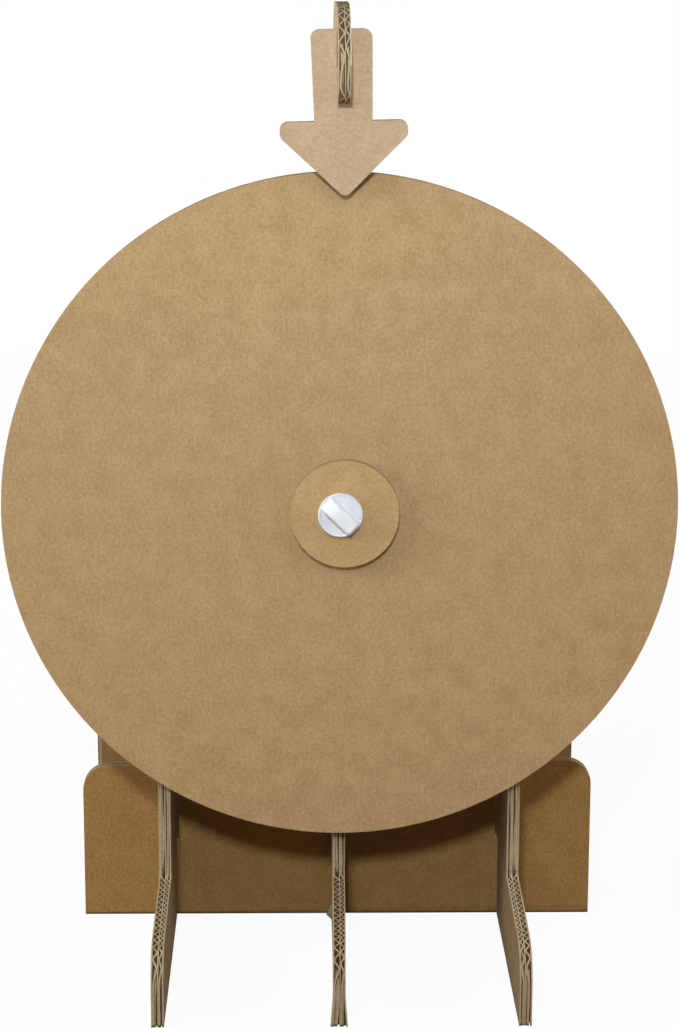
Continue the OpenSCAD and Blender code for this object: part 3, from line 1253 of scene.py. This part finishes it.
def turn_outward(piece: Object) -> None:
    """Turns the faces of closed skins outward.

    Args:
        piece: The object whose mesh is turned.
    """
    work = bmesh.new()
    work.from_mesh(piece.data)
    bmesh.ops.recalc_face_normals(work, faces=work.faces)
    work.to_mesh(piece.data)
    work.free()


@dataclass
class LockDisc:
    """The moulded disc behind the hub plate: its solid with the sharp edges taken off."""

    finish: Material
    node: str = "lock_disc"
    edge_mm: float = 0.3
    edge_steps: int = 2
    edge_from_deg: float = 40.0

    def build(self) -> None:
        """Copies the solid, joins its triangles and rounds its edges."""
        points, triangles = node_triangles(self.node)
        vertices, number = merged(points, MESH_DIGITS)
        piece = make_object(self.node + "_moulding", vertices, number[triangles].tolist(), [self.finish])
        edge = piece.modifiers.new("edge", "BEVEL")
        edge.width = self.edge_mm * MM
        edge.segments = self.edge_steps
        edge.limit_method = "ANGLE"
        edge.angle_limit = math.radians(self.edge_from_deg)
        edge.harden_normals = False
        install(piece, self.node, "stand")


@dataclass(frozen=True)
class Lamp:
    """A square soft lamp: where it is, its width and power, what it looks at, its colour and its beam."""

    name: str
    place: tuple[float, float, float]
    width: float
    watts: float
    aim: tuple[float, float, float] = (0.0, -0.07, 0.30)
    colour: str = "#fffbf3"
    beam_deg: float = 180.0

    def light(self) -> None:
        """Puts the lamp in the scene."""
        lamp = bpy.data.lights.new(self.name, "AREA")
        lamp.size = self.width
        lamp.energy = self.watts
        lamp.color = linear(self.colour)[:3]
        lamp.spread = math.radians(self.beam_deg)
        stand = bpy.data.objects.new(self.name, lamp)
        stand.location = self.place
        stand.rotation_mode = "QUATERNION"
        stand.rotation_quaternion = (Vector(self.aim) - Vector(self.place)).to_track_quat("-Z", "Y")
        bpy.context.scene.collection.objects.link(stand)


@dataclass
class Studio:
    """The pale floor that the wheel stands on, its soft lights, and the camera of the photograph."""

    paper: Material
    camera_place: tuple[float, float, float] = (-0.0259, -1.6024, 0.6316)
    pitch: float = 0.2243
    yaw: float = 0.0169
    roll: float = -0.0023
    focal_px: float = 2650.0
    photo_height_px: float = 1029.0
    sensor_mm: float = 36.0
    in_view: tuple[float, float] = (0.01, 100.0)
    white: str = "#ffffff"
    ambient: float = 0.005
    floor_width: float = 8.0
    lamps: tuple[Lamp, ...] = (
        Lamp("key", (-0.127, -1.856, 1.14), 0.16, 2.49, (0.0, -0.07, 0.55), "#f4faff", 60.0),
        Lamp("overhead", (0.0, -1.0, 1.6), 1.2, 6.45),
        Lamp("left", (-1.5, -0.6, 0.8), 0.8, 15.6),
        Lamp("right", (1.5, -0.6, 0.8), 0.8, 6.6),
        Lamp("back_left", (-0.9, 1.2, 0.4), 0.8, 10.0, (0.0, 0.10, 0.25)),
        Lamp("back_right", (1.3, 0.9, 0.5), 0.8, 17.0, (0.0, 0.10, 0.25)),
    )

    def floor(self) -> None:
        """Lays the square floor, with the part's frame in its middle."""
        corners = np.array([(-0.5, -0.5, 0.0), (0.5, -0.5, 0.0), (0.5, 0.5, 0.0), (-0.5, 0.5, 0.0)])
        floor = make_object("studio_floor", corners * self.floor_width, [(0, 1, 2, 3)], [self.paper])

    def world(self) -> None:
        """Lights the scene evenly from all round, behind a background that shows white."""
        world = bpy.data.worlds.new("studio_world")
        world.use_nodes = True
        tree = world.node_tree
        tree.nodes.clear()
        fill, shown = (
            add_node(tree, "ShaderNodeBackground", {"Color": linear(self.white), "Strength": strength})
            for strength in (self.ambient, 1.0))
        either = add_node(tree, "ShaderNodeMixShader", links={
            0: shown_rays(tree), 1: fill.outputs[0], 2: shown.outputs[0]})
        add_node(tree, "ShaderNodeOutputWorld", links={"Surface": either.outputs[0]})
        bpy.context.scene.world = world

    def camera(self) -> None:
        """Sets the camera where the photograph was taken from."""
        reach = math.cos(self.pitch)
        ahead = Vector((math.sin(self.yaw) * reach, math.cos(self.yaw) * reach, -math.sin(self.pitch)))
        level = Vector((math.cos(self.yaw), -math.sin(self.yaw), 0.0))
        down = ahead.cross(level)
        right = math.cos(self.roll) * level + math.sin(self.roll) * down
        up = math.sin(self.roll) * level - math.cos(self.roll) * down
        lens = bpy.data.cameras.new("photo_camera")
        lens.sensor_width = self.sensor_mm
        lens.lens = self.sensor_mm * self.focal_px / self.photo_height_px
        lens.clip_start, lens.clip_end = self.in_view
        eye = bpy.data.objects.new("photo_camera", lens)
        bpy.context.scene.collection.objects.link(eye)
        turned = Matrix((right, up, -ahead)).transposed().to_4x4()
        eye.matrix_world = Matrix.Translation(self.camera_place) @ turned
        bpy.context.scene.camera = eye

    def build(self) -> None:
        """Sets up the camera, the floor and the lights."""
        self.camera()
        self.floor()
        self.world()
        for lamp in self.lamps:
            lamp.light()
        bpy.context.scene.view_settings.view_transform = "Standard"


def boards() -> list[Board]:
    """Names every board of the part, with the way its flutes run.

    Returns:
        The boards, ready to build.
    """
    cut = KraftPaper("kraft_cut_edge", "#c2af93", "#a89677", gloss=0.0, cloud_mm=6.0, grain_mm=0.9)
    # The insides of the flutes take a paper darker than the cut edge: partly the browner fluting medium,
    # partly painted shade in the flutes' depths.
    fluting_and_shade = replace(cut, name="kraft_fluting_and_shade", light="#998260", shade="#846e4d")
    # A darker copy of the inside paper: painted shade in the fins' open flutes and in the slits beside their
    # pressed flutes.
    fluting_deep_shade = replace(cut, name="kraft_medium_deep_shade", light="#897355", shade="#776245")
    # The centre fin's inside paper: the darker copy, with painted shade growing towards the floor over the
    # lowest 90 mm.
    fluting_shaded_low = replace(fluting_deep_shade, name="kraft_medium_shade_low", painted_shade_mm=90.0, painted_shade_depth=0.55)
    edge, inside = cut.material(), fluting_and_shade.material()
    wheel, washer, rear, stand, fins, pale = (BoardPapers(liner.material(), edge, inside) for liner in (
        KraftPaper("kraft_liner_wheel", "#bfa279", "#aa8c63"),
        KraftPaper("kraft_liner_washer", "#c4a57a", "#b29467"),
        # A darker copy of the washer liner: painted shade on the rear board's face, which lies behind the
        # front board.
        KraftPaper("kraft_liner_rear_shaded", "#b49b76", "#a48b63"),
        KraftPaper("kraft_liner_stand", "#b18e5b", "#9b7745"),
        # A darker copy of the stand liner: painted shade on the fins' inner faces, which lie in shade between
        # the boards.
        KraftPaper("kraft_liner_fins_shaded", "#988162", "#856c4c"),
        KraftPaper("kraft_liner_pale", "#c7b093", "#b69e80")))
    # The centre fin's flute insides take the paper with painted shade low down.
    centre = replace(pale, inside=fluting_shaded_low.material())
    # The fins' flute insides take the darker copy, which is painted shade.
    fins = replace(fins, inside=fluting_deep_shade.material())
    thin_papers = BoardMake(outer_liner_mm=0.7, inner_liner_mm=0.6, medium_mm=0.7)
    forward, sideways = Facing.FORWARD, Facing.SIDEWAYS
    level, upright = Flutes.LEVEL, Flutes.UPRIGHT
    return [
        RoundBoard("wheel_disc", "wheel", forward, level, wheel, skew_deg=1.7, seed=11),
        RoundBoard("front_washer", "wheel", forward, upright, washer, skew_deg=28.0, seed=12,
                   off_centre_mm=2.6, rim_points=120),
        RoundBoard("rear_washer", "wheel", forward, level, stand, skew_deg=4.1, seed=13, rim_points=120),
        RoundBoard("hub_spacer", "stand", forward, level, stand, skew_deg=-2.3, seed=14, rim_points=120),
        Board("hub_plate", "stand", forward, level, stand, skew_deg=1.3, seed=15),
        CentreFin("centre_fin", "stand", sideways, upright, centre, skew_deg=1.9, seed=12085,
                  rows_mm=(3.0, 6.0, 10.0, 15.0), make=thin_papers),
        Fin("left_fin", "stand", sideways, upright, fins, skew_deg=0.9, seed=11165, shift_mm=-0.22),
        Fin("right_fin", "stand", sideways, upright, fins, skew_deg=-1.1, seed=15419,
            wide=WideFlute.BEFORE, shift_mm=0.22),
        FrontBoard("front_cross_board", "stand", forward, level, stand, skew_deg=0.7, seed=19),
        RearBoard("rear_cross_board", "stand", forward, level, rear, skew_deg=-0.6, seed=20),
        Pointer("pointer_arrow", "stand", forward, upright, pale, skew_deg=1.2, seed=21,
                shift_mm=1.2, tilt_deg=1.3),
    ]


def main() -> None:
    """Builds the studio and the pieces in order."""
    logging.basicConfig(level=logging.INFO, format="%(message)s")
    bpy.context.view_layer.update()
    Studio(StudioPaper().material()).build()
    for board in boards():
        board.build()
    # The thin finish is a darker copy of the thick one: painted shade on the flange and lock disc, for the
    # light that thin plastic lets through.
    thin = Polypropylene("polypropylene_thin", "#e7eaf5", "#dde1ee").material()
    thick = Polypropylene("polypropylene_thick", "#f1f4f9", "#eaeef4").material()
    TurnFastener(thin, thick).build()
    LockDisc(thin).build()


if __name__ == "__main__":
    main()
